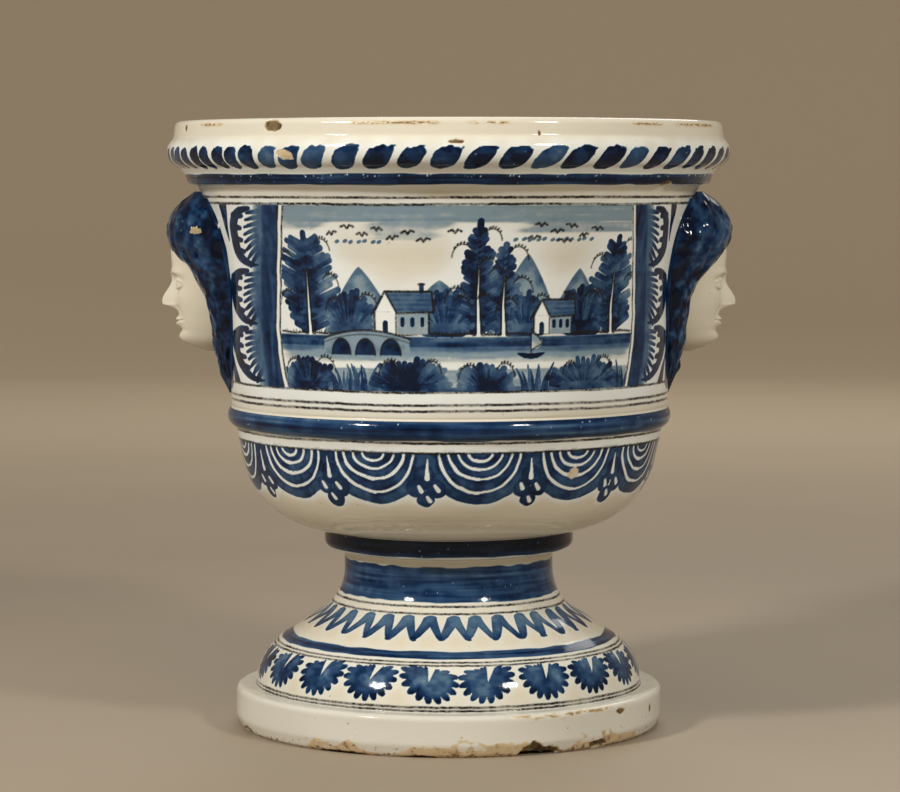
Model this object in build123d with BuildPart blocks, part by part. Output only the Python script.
import os

from build123d import *

# Heights of the stacked members, from the floor up, in millimetres
plinth_height = 20.0
dome_height = 24.0
ledge_rise = 3.2
stem_height = 39.8
collar_height = 11.0
bowl_height = 51.4
belt_height = 10.8
wall_height = 102.3
cove_height = 6.1
fillet_height = 5.8
rim_height = 25.6

# Radii, each later one built on an earlier one
stem_radius = 52.4
collar_projection = 10.1
flare_spread = 25.0
ledge_width = 6.2
dome_spread = 12.9
plinth_projection = 10.0
body_radius = 106.4
belt_projection = 4.25
wall_step = 2.4
wall_flare = 12.7
cove_projection = 4.1
fillet_projection = 9.7
torus_projection = 18.25
lip_projection = 14.3

# Thickness of the clay
wall_thickness = 9.5
foot_thickness = 9.0
floor_thickness = 11.5
lip_thickness = 11.8
plinth_width = 24.0

# Curves of the profile
bowl_taper = 3.4
bowl_taper_share = 0.32
wall_taper = 2.4
wall_taper_share = 0.44
stem_straight = 9.0
ogee_radius_share = 0.524
ogee_height_share = 0.276
floor_spread = 3.5
fillet_slope = 2.0
fillet_drop = 0.7
torus_rise = 3.1
torus_height = 14.0
torus_inset = 5.4
torus_lean = 2.2
lip_round = 2.8
plinth_round = 2.4
plinth_undercut = 2.2
plinth_undercut_height = 6.0
collar_round = 4.2
collar_cone = 1.3
edge_break = 1.2

# Luted seats
joint_clearance = 0.2
belt_seat_depth = 0.9
collar_seat_depth = 1.9
tongue_width = 3.2
tongue_height = 5.0
register_height = 4.0
plinth_rebate = 7.0

# Mask sizes
nose_reach = 35.3
nose_half_width = 4.4
eye_radius = 5.2
face_half_width = 20.5
hood_half_width = 29.5
mask_root = 12.0
hood_reach_share = 0.907

# Mask heights, as shares of the wall height
chin_share = 0.28
face_share = 0.53

# Face sections: share of the face height, of its half width, and of the nose reach at cheek and middle
face_levels = [
    (-0.03, 0.36, 0.37, 0.47),
    (0.06, 0.60, 0.53, 0.66),
    (0.20, 0.79, 0.60, 0.705),
    (0.36, 0.93, 0.66, 0.74),
    (0.56, 1.00, 0.63, 0.77),
    (0.70, 1.00, 0.72, 0.83),
    (0.88, 0.94, 0.73, 0.85),
    (1.06, 0.80, 0.66, 0.80),
]
cheek_side = 0.58
jaw_side = 0.94
jaw_reach = 0.62

# Nose sections: share of the face height, of the nose half width and of the nose reach
nose_levels = [(0.335, 0.95, 0.90), (0.385, 1.0, 1.00), (0.66, 0.55, 0.79)]
nose_root = 0.45

# Eyes: shares of the face height, of its half width and of the nose reach
eye_level = 0.565
eye_side = 0.44
eye_depth = 0.57

# Chin and lips: share of the face height, of the nose reach, and half sizes as shares of the face half width
swellings = [
    (0.060, 0.57, (0.205, 0.312, 0.224)),
    (0.195, 0.675, (0.117, 0.273, 0.088)),
    (0.245, 0.68, (0.117, 0.312, 0.073)),
]

# Hood sections: share of the wall height, of the hood half width and of the hood reach
hood_levels = [
    (0.057, 0.10, 0.05),
    (0.154, 0.37, 0.15),
    (0.291, 0.63, 0.25),
    (0.428, 0.80, 0.32),
    (0.545, 0.90, 0.42),
    (0.663, 0.97, 0.65),
    (0.760, 1.00, 0.92),
    (0.839, 0.98, 1.00),
    (0.917, 0.88, 0.94),
    (0.985, 0.62, 0.76),
    (1.035, 0.24, 0.52),
]
hood_edge_side = 0.86
hood_edge_reach = 0.45
hood_front_side = 0.45
hood_front_reach = 0.90

# Derived levels
dome_z = plinth_height
ledge_z = dome_z + dome_height
flare_z = ledge_z + ledge_rise
collar_z = flare_z + stem_height
bowl_z = collar_z + collar_height
belt_z = bowl_z + bowl_height
wall_z = belt_z + belt_height
rim_z = wall_z + wall_height
fillet_z = rim_z + cove_height
torus_z = fillet_z + fillet_height
top_z = torus_z + rim_height
belt_joint_z = belt_z + belt_height / 2

# Derived radii
collar_radius = stem_radius + collar_projection
floor_radius = collar_radius + floor_spread
neck_radius = stem_radius - collar_seat_depth
bore_radius = neck_radius - foot_thickness
flare_radius = stem_radius + flare_spread
ledge_radius = flare_radius + ledge_width
dome_radius = ledge_radius + dome_spread
plinth_radius = dome_radius + plinth_projection
belt_seat_radius = body_radius - belt_seat_depth
belt_radius = body_radius + belt_projection
wall_foot_radius = body_radius + wall_step
wall_top_radius = wall_foot_radius + wall_flare
inner_radius = body_radius - wall_thickness
tongue_radius = wall_top_radius - wall_thickness / 2
lip_radius = wall_top_radius + lip_projection
lip_inner_radius = lip_radius - lip_thickness
belt_tongue_radius = (belt_seat_radius + inner_radius) / 2
hood_reach = hood_reach_share * nose_reach


def loft_section(level, back, half_width, knots):
    """Closed outline at one level: a straight back and a mirrored front curve.

    Each knot is (share of the half width, reach).
    """
    left = [(reach, share * half_width) for share, reach in knots]
    right = [(reach, -share * half_width) for share, reach in reversed(knots) if share > 0]
    with BuildSketch(Plane.XY.offset(level)) as outline:
        with BuildLine():
            Spline([(back, half_width)] + left + right + [(back, -half_width)])
            Line((back, -half_width), (back, half_width))
        make_face()
    return outline.sketch


# Plinth: a thick ring with a rebate for the skirt of the foot
rebate_z = plinth_height - plinth_rebate
plinth_bore = plinth_radius - plinth_width
with BuildPart() as plinth_ring:
    with BuildSketch(Plane.XZ):
        with BuildLine():
            Polyline(
                (plinth_bore, 0),
                (plinth_radius - plinth_undercut, 0),
                (plinth_radius, plinth_undercut_height),
                (plinth_radius, plinth_height - plinth_round),
            )
            RadiusArc(
                (plinth_radius, plinth_height - plinth_round),
                (plinth_radius - plinth_round, plinth_height),
                -plinth_round,
            )
            Polyline(
                (plinth_radius - plinth_round, plinth_height),
                (dome_radius + joint_clearance, plinth_height),
                (dome_radius + joint_clearance, rebate_z),
                (plinth_bore, rebate_z),
                (plinth_bore, 0),
            )
        make_face()
    revolve(axis=Axis.Z)
    chamfer(plinth_ring.edges().group_by(Axis.Z)[0], edge_break)

# Foot: a hollow thrown pedestal from the skirt to the neck
ogee_radius = stem_radius + ogee_radius_share * flare_spread
straight_z = collar_z - stem_straight
ogee_z = flare_z + ogee_height_share * (straight_z - flare_z)
with BuildPart() as pedestal_foot:
    with BuildSketch(Plane.XZ):
        with BuildLine():
            Polyline(
                (bore_radius, bowl_z),
                (neck_radius, bowl_z),
                (neck_radius, collar_z),
                (stem_radius, collar_z),
                (stem_radius, straight_z),
            )
            upper = TangentArc((stem_radius, straight_z), (ogee_radius, ogee_z), tangent=(0, -1))
            TangentArc((ogee_radius, ogee_z), (flare_radius, flare_z), tangent=upper % 1)
            Line((flare_radius, flare_z), (ledge_radius, ledge_z))
            TangentArc((dome_radius, dome_z), (ledge_radius, ledge_z), tangent=(0, 1))
            Polyline(
                (dome_radius, dome_z),
                (dome_radius, rebate_z),
                (dome_radius - foot_thickness, rebate_z),
                (dome_radius - foot_thickness, dome_z),
            )
            TangentArc(
                (dome_radius - foot_thickness, dome_z),
                (ledge_radius - foot_thickness, ledge_z - foot_thickness),
                tangent=(0, 1),
            )
            Line(
                (ledge_radius - foot_thickness, ledge_z - foot_thickness),
                (flare_radius - foot_thickness, flare_z - foot_thickness),
            )
            lower = TangentArc(
                (bore_radius, straight_z - foot_thickness),
                (ogee_radius - foot_thickness, ogee_z - foot_thickness),
                tangent=(0, -1),
            )
            TangentArc(
                (ogee_radius - foot_thickness, ogee_z - foot_thickness),
                (flare_radius - foot_thickness, flare_z - foot_thickness),
                tangent=lower % 1,
            )
            Line((bore_radius, straight_z - foot_thickness), (bore_radius, bowl_z))
        make_face()
    revolve(axis=Axis.Z)

# Collar: a moulded ring on the neck, under the bowl
with BuildPart() as collar_ring:
    with BuildSketch(Plane.XZ):
        with BuildLine():
            Polyline(
                (collar_radius, collar_z + collar_cone + collar_round),
                (collar_radius, bowl_z),
                (neck_radius, bowl_z),
                (neck_radius, collar_z),
                (stem_radius, collar_z),
                (collar_radius - collar_round, collar_z + collar_cone),
            )
            RadiusArc(
                (collar_radius - collar_round, collar_z + collar_cone),
                (collar_radius, collar_z + collar_cone + collar_round),
                -collar_round,
            )
        make_face()
    revolve(axis=Axis.Z)

# Bowl: the thrown lower body with its floor and the register ring below it
taper_radius = body_radius - bowl_taper
taper_z = belt_z - bowl_taper_share * bowl_height
floor_z = bowl_z + floor_thickness
register_radius = bore_radius - joint_clearance
with BuildPart() as lower_bowl:
    with BuildSketch(Plane.XZ):
        with BuildLine():
            Polyline(
                (0, floor_z),
                (0, bowl_z),
                (register_radius - foot_thickness, bowl_z),
                (register_radius - foot_thickness, bowl_z - register_height),
                (register_radius, bowl_z - register_height),
                (register_radius, bowl_z),
                (collar_radius, bowl_z),
            )
            TangentArc(
                (taper_radius, taper_z),
                (collar_radius, bowl_z),
                tangent=(taper_radius - body_radius, taper_z - belt_z),
            )
            Polyline(
                (taper_radius, taper_z),
                (body_radius, belt_z),
                (belt_seat_radius, belt_z),
                (belt_seat_radius, belt_joint_z),
                (belt_tongue_radius + tongue_width / 2, belt_joint_z),
                (belt_tongue_radius + tongue_width / 2, belt_joint_z + tongue_height),
                (belt_tongue_radius - tongue_width / 2, belt_joint_z + tongue_height),
                (belt_tongue_radius - tongue_width / 2, belt_joint_z),
                (inner_radius, belt_joint_z),
                (inner_radius, belt_z),
                (taper_radius - wall_thickness, taper_z),
            )
            TangentArc(
                (taper_radius - wall_thickness, taper_z),
                (floor_radius, floor_z),
                tangent=(taper_radius - body_radius, taper_z - belt_z),
            )
            Line((floor_radius, floor_z), (0, floor_z))
        make_face()
    revolve(axis=Axis.Z)

# Upper wall: the thrown flaring cylinder, grooved below, tongued above
wall_waist_radius = wall_foot_radius + wall_taper
wall_waist_z = wall_z + wall_taper_share * wall_height
belt_groove = tongue_width / 2 + joint_clearance
with BuildPart() as upper_wall:
    with BuildSketch(Plane.XZ):
        with BuildLine():
            Polyline(
                (inner_radius, belt_joint_z),
                (belt_tongue_radius - belt_groove, belt_joint_z),
                (belt_tongue_radius - belt_groove, belt_joint_z + tongue_height + joint_clearance),
                (belt_tongue_radius + belt_groove, belt_joint_z + tongue_height + joint_clearance),
                (belt_tongue_radius + belt_groove, belt_joint_z),
                (belt_seat_radius, belt_joint_z),
                (belt_seat_radius, wall_z),
                (wall_foot_radius, wall_z),
                (wall_waist_radius, wall_waist_z),
            )
            wall_curve = TangentArc(
                (wall_waist_radius, wall_waist_z),
                (wall_top_radius, rim_z),
                tangent=(wall_taper, wall_waist_z - wall_z),
            )
            Polyline(
                (wall_top_radius, rim_z),
                (tongue_radius + tongue_width / 2, rim_z),
                (tongue_radius + tongue_width / 2, rim_z + tongue_height),
                (tongue_radius - tongue_width / 2, rim_z + tongue_height),
                (tongue_radius - tongue_width / 2, rim_z),
                (wall_top_radius - wall_thickness, rim_z),
            )
            TangentArc(
                (wall_waist_radius - wall_thickness, wall_waist_z),
                (wall_top_radius - wall_thickness, rim_z),
                tangent=(wall_taper, wall_waist_z - wall_z),
            )
            Line((wall_waist_radius - wall_thickness, wall_waist_z), (inner_radius, belt_joint_z))
        make_face()
    revolve(axis=Axis.Z)
wall_end = wall_curve % 1

# Belt: a half-round moulding laid round the joint of bowl and wall
with BuildPart() as belt_moulding:
    with BuildSketch(Plane.XZ):
        with BuildLine():
            Polyline(
                (body_radius, belt_z),
                (belt_seat_radius, belt_z),
                (belt_seat_radius, wall_z),
                (wall_foot_radius - belt_seat_depth, wall_z),
            )
            ThreePointArc(
                (wall_foot_radius - belt_seat_depth, wall_z),
                (belt_radius, belt_joint_z),
                (body_radius, belt_z),
            )
        make_face()
    revolve(axis=Axis.Z)

# Rim: cove, fillet, torus and lip, grooved over the tongue of the wall
cove_radius = wall_top_radius + cove_projection
fillet_radius = wall_top_radius + fillet_projection
torus_radius = wall_top_radius + torus_projection
torus_low = (torus_radius - torus_inset, torus_z + torus_rise)
torus_high = (torus_radius - torus_inset + torus_lean, torus_z + torus_rise + torus_height)
rim_groove = tongue_width / 2 + joint_clearance
with BuildPart() as rim_ring:
    with BuildSketch(Plane.XZ):
        with BuildLine():
            TangentArc((wall_top_radius, rim_z), (cove_radius, fillet_z), tangent=wall_end)
            Polyline(
                (cove_radius, fillet_z),
                (fillet_radius - fillet_slope, fillet_z + fillet_drop),
                (fillet_radius, torus_z),
                torus_low,
            )
            ThreePointArc(torus_low, (torus_radius, (torus_low[1] + torus_high[1]) / 2), torus_high)
            Line(torus_high, (lip_radius, top_z - lip_round))
            RadiusArc((lip_radius, top_z - lip_round), (lip_radius - lip_round, top_z), -lip_round)
            Line((lip_radius - lip_round, top_z), (lip_inner_radius + lip_round, top_z))
            RadiusArc(
                (lip_inner_radius + lip_round, top_z),
                (lip_inner_radius, top_z - lip_round),
                -lip_round,
            )
            Polyline(
                (lip_inner_radius, top_z - lip_round),
                (wall_top_radius - wall_thickness, rim_z),
                (tongue_radius - rim_groove, rim_z),
                (tongue_radius - rim_groove, rim_z + tongue_height + joint_clearance),
                (tongue_radius + rim_groove, rim_z + tongue_height + joint_clearance),
                (tongue_radius + rim_groove, rim_z),
                (wall_top_radius, rim_z),
            )
        make_face()
    revolve(axis=Axis.Z)

# Everything inside the outer face of the wall, used to fit the backs of the masks
with BuildPart() as wall_core:
    with BuildSketch(Plane.XZ):
        with BuildLine():
            Polyline(
                (0, wall_z),
                (wall_foot_radius, wall_z),
                (wall_waist_radius, wall_waist_z),
            )
            TangentArc(
                (wall_waist_radius, wall_waist_z),
                (wall_top_radius, rim_z),
                tangent=(wall_taper, wall_waist_z - wall_z),
            )
            TangentArc((wall_top_radius, rim_z), (cove_radius, fillet_z), tangent=wall_end)
            Polyline((cove_radius, fillet_z), (0, fillet_z), (0, wall_z))
        make_face()
    revolve(axis=Axis.Z)

# Face of a mask: an oval form with nose, eyelids, lips and chin
chin_z = wall_z + chin_share * wall_height
face_height = face_share * wall_height
face_back = wall_foot_radius - mask_root / 4
face_swellings = []
for level, reach, half_shares in swellings:
    with BuildPart() as swelling:
        Sphere(face_half_width)
        scale(by=half_shares)
    place = (wall_foot_radius + reach * nose_reach, 0, chin_z + level * face_height)
    face_swellings.append(swelling.part.moved(Location(place)))

with BuildPart() as right_mask_face:
    for level, width, cheek, middle in face_levels:
        add(
            loft_section(
                chin_z + level * face_height,
                face_back,
                width * face_half_width,
                [
                    (jaw_side, wall_foot_radius + jaw_reach * cheek * nose_reach),
                    (cheek_side, wall_foot_radius + cheek * nose_reach),
                    (0.0, wall_foot_radius + middle * nose_reach),
                ],
            )
        )
    loft()
    nose_back = wall_foot_radius + nose_root * nose_reach
    for level, width, reach in nose_levels:
        nose_front = wall_foot_radius + reach * nose_reach
        nose_side = width * nose_half_width
        with BuildSketch(Plane.XY.offset(chin_z + level * face_height)):
            with BuildLine():
                ridge = ThreePointArc(
                    (nose_front - nose_side / 2, nose_side / 2),
                    (nose_front, 0),
                    (nose_front - nose_side / 2, -nose_side / 2),
                )
                Polyline(ridge @ 1, (nose_back, -nose_side), (nose_back, nose_side), ridge @ 0)
            make_face()
    loft(ruled=True)
    eye_x = wall_foot_radius + eye_depth * nose_reach
    eye_y = eye_side * face_half_width
    eye_z = chin_z + eye_level * face_height
    with Locations((eye_x, eye_y, eye_z), (eye_x, -eye_y, eye_z)):
        Sphere(eye_radius)
    add(face_swellings)
    add(wall_core.part, mode=Mode.SUBTRACT)

# Hood of hair: a crown and side bands that end in one tail, fitted round the face and to the wall
with BuildPart() as right_mask_hood:
    for level, width, reach in hood_levels:
        add(
            loft_section(
                wall_z + level * wall_height,
                wall_foot_radius - mask_root,
                width * hood_half_width,
                [
                    (hood_edge_side, wall_foot_radius + hood_edge_reach * reach * hood_reach),
                    (hood_front_side, wall_foot_radius + hood_front_reach * reach * hood_reach),
                    (0.0, wall_foot_radius + reach * hood_reach),
                ],
            )
        )
    loft()
    add(wall_core.part, mode=Mode.SUBTRACT)
    add(right_mask_face.part, mode=Mode.SUBTRACT)

# The second mask is the mirror image of the first
with BuildPart() as left_mask_face:
    mirror(right_mask_face.part, about=Plane.YZ)

with BuildPart() as left_mask_hood:
    mirror(right_mask_hood.part, about=Plane.YZ)

pieces = {
    "plinth_ring": plinth_ring,
    "pedestal_foot": pedestal_foot,
    "collar_ring": collar_ring,
    "lower_bowl": lower_bowl,
    "upper_wall": upper_wall,
    "belt_moulding": belt_moulding,
    "rim_ring": rim_ring,
    "right_mask_face": right_mask_face,
    "right_mask_hood": right_mask_hood,
    "left_mask_face": left_mask_face,
    "left_mask_hood": left_mask_hood,
}
os.makedirs("parts", exist_ok=True)
for name, piece in pieces.items():
    piece.part.label = name
    export_step(piece.part, f"parts/{name}.step")
